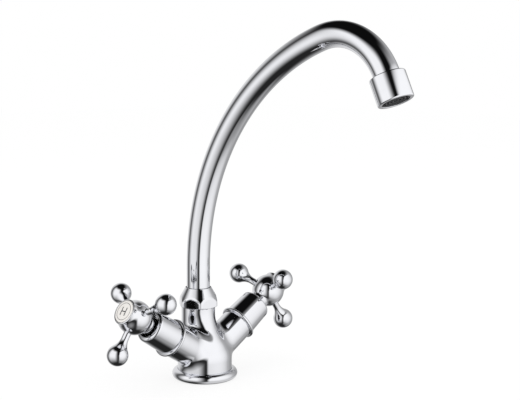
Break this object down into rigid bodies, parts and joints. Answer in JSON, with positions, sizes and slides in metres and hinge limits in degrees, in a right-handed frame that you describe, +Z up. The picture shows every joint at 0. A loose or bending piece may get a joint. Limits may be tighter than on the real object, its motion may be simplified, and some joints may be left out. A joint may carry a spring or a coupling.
{
  "type": "kitchen mixer tap",
  "caption": "Deck-mounted kitchen sink mixer tap: forked chrome body with hot and cold ball-spoke handles, hexagon spout nut and a swivelling arched tube spout with an aerator.",
  "frame": {"origin": "centre of the base ring's underside, where the tap stands on the sink's deck", "axes": "+Z up along the column; -Y is the way the spout points at rest; -X is the hot side and +X the cold side"},
  "size_m": [0.185, 0.2279, 0.2717],
  "materials": {
    "chrome": "bright chrome plate on brass, polished",
    "brass": "turned brass, bare",
    "rubber": "black moulded rubber",
    "nylon": "natural nylon, satin",
    "grey_plastic": "dark grey moulded plastic",
    "steel": "plain stainless steel",
    "glazed_white": "glazed off-white index disc",
    "alumina": "lapped white ceramic"
  },
  "bodies": {
    "base": {"mixer_body": "chrome", "base_ring": "chrome", "base_gasket": "rubber", "spout_nut": "chrome", "slide_ring": "nylon", "spout_washer": "nylon", "hot_seat_seal": "rubber", "hot_fixed_disc": "alumina", "hot_bonnet": "brass", "hot_bonnet_seal": "rubber", "hot_sleeve": "chrome", "hot_sleeve_nut": "brass", "cold_seat_seal": "rubber", "cold_fixed_disc": "alumina", "cold_bonnet": "brass", "cold_bonnet_seal": "rubber", "cold_sleeve": "chrome", "cold_sleeve_nut": "brass"},
    "spout": {"spout_tube": "chrome", "spout_ferrule": "brass", "lower_spout_seal": "rubber", "upper_spout_seal": "rubber", "spout_tip": "brass", "aerator_shell": "chrome", "aerator_washer": "rubber", "aerator_insert": "nylon", "aerator_screen": "steel", "aerator_grid": "grey_plastic"},
    "hot_handle": {"hot_spindle": "brass", "hot_moving_disc": "alumina", "hot_thrust_washer": "nylon", "hot_spindle_seal": "rubber", "hot_clip": "steel", "hot_hub": "chrome", "hot_handle_screw": "steel", "hot_index_disc": "glazed_white", "hot_spoke_1": "chrome", "hot_spoke_2": "chrome", "hot_spoke_3": "chrome"},
    "cold_handle": {"cold_spindle": "brass", "cold_moving_disc": "alumina", "cold_thrust_washer": "nylon", "cold_spindle_seal": "rubber", "cold_clip": "steel", "cold_hub": "chrome", "cold_handle_screw": "steel", "cold_index_disc": "glazed_white", "cold_spoke_1": "chrome", "cold_spoke_2": "chrome", "cold_spoke_3": "chrome"}
  },
  "joints": [
    {"name": "spout_swivel", "type": "hinge", "parent": "base", "child": "spout", "pos_m": [0, 0.0076, 0.0635], "axis": [0, 0, 1], "continuous": true},
    {"name": "hot_handle_turn", "type": "hinge", "parent": "base", "child": "hot_handle", "pos_m": [0, 0, 0.0149], "axis": [-0.848, 0, 0.5299], "range_deg": [0, 90]},
    {"name": "cold_handle_turn", "type": "hinge", "parent": "base", "child": "cold_handle", "pos_m": [0, 0, 0.0149], "axis": [0.848, 0, 0.5299], "range_deg": [0, 90]}
  ]
}
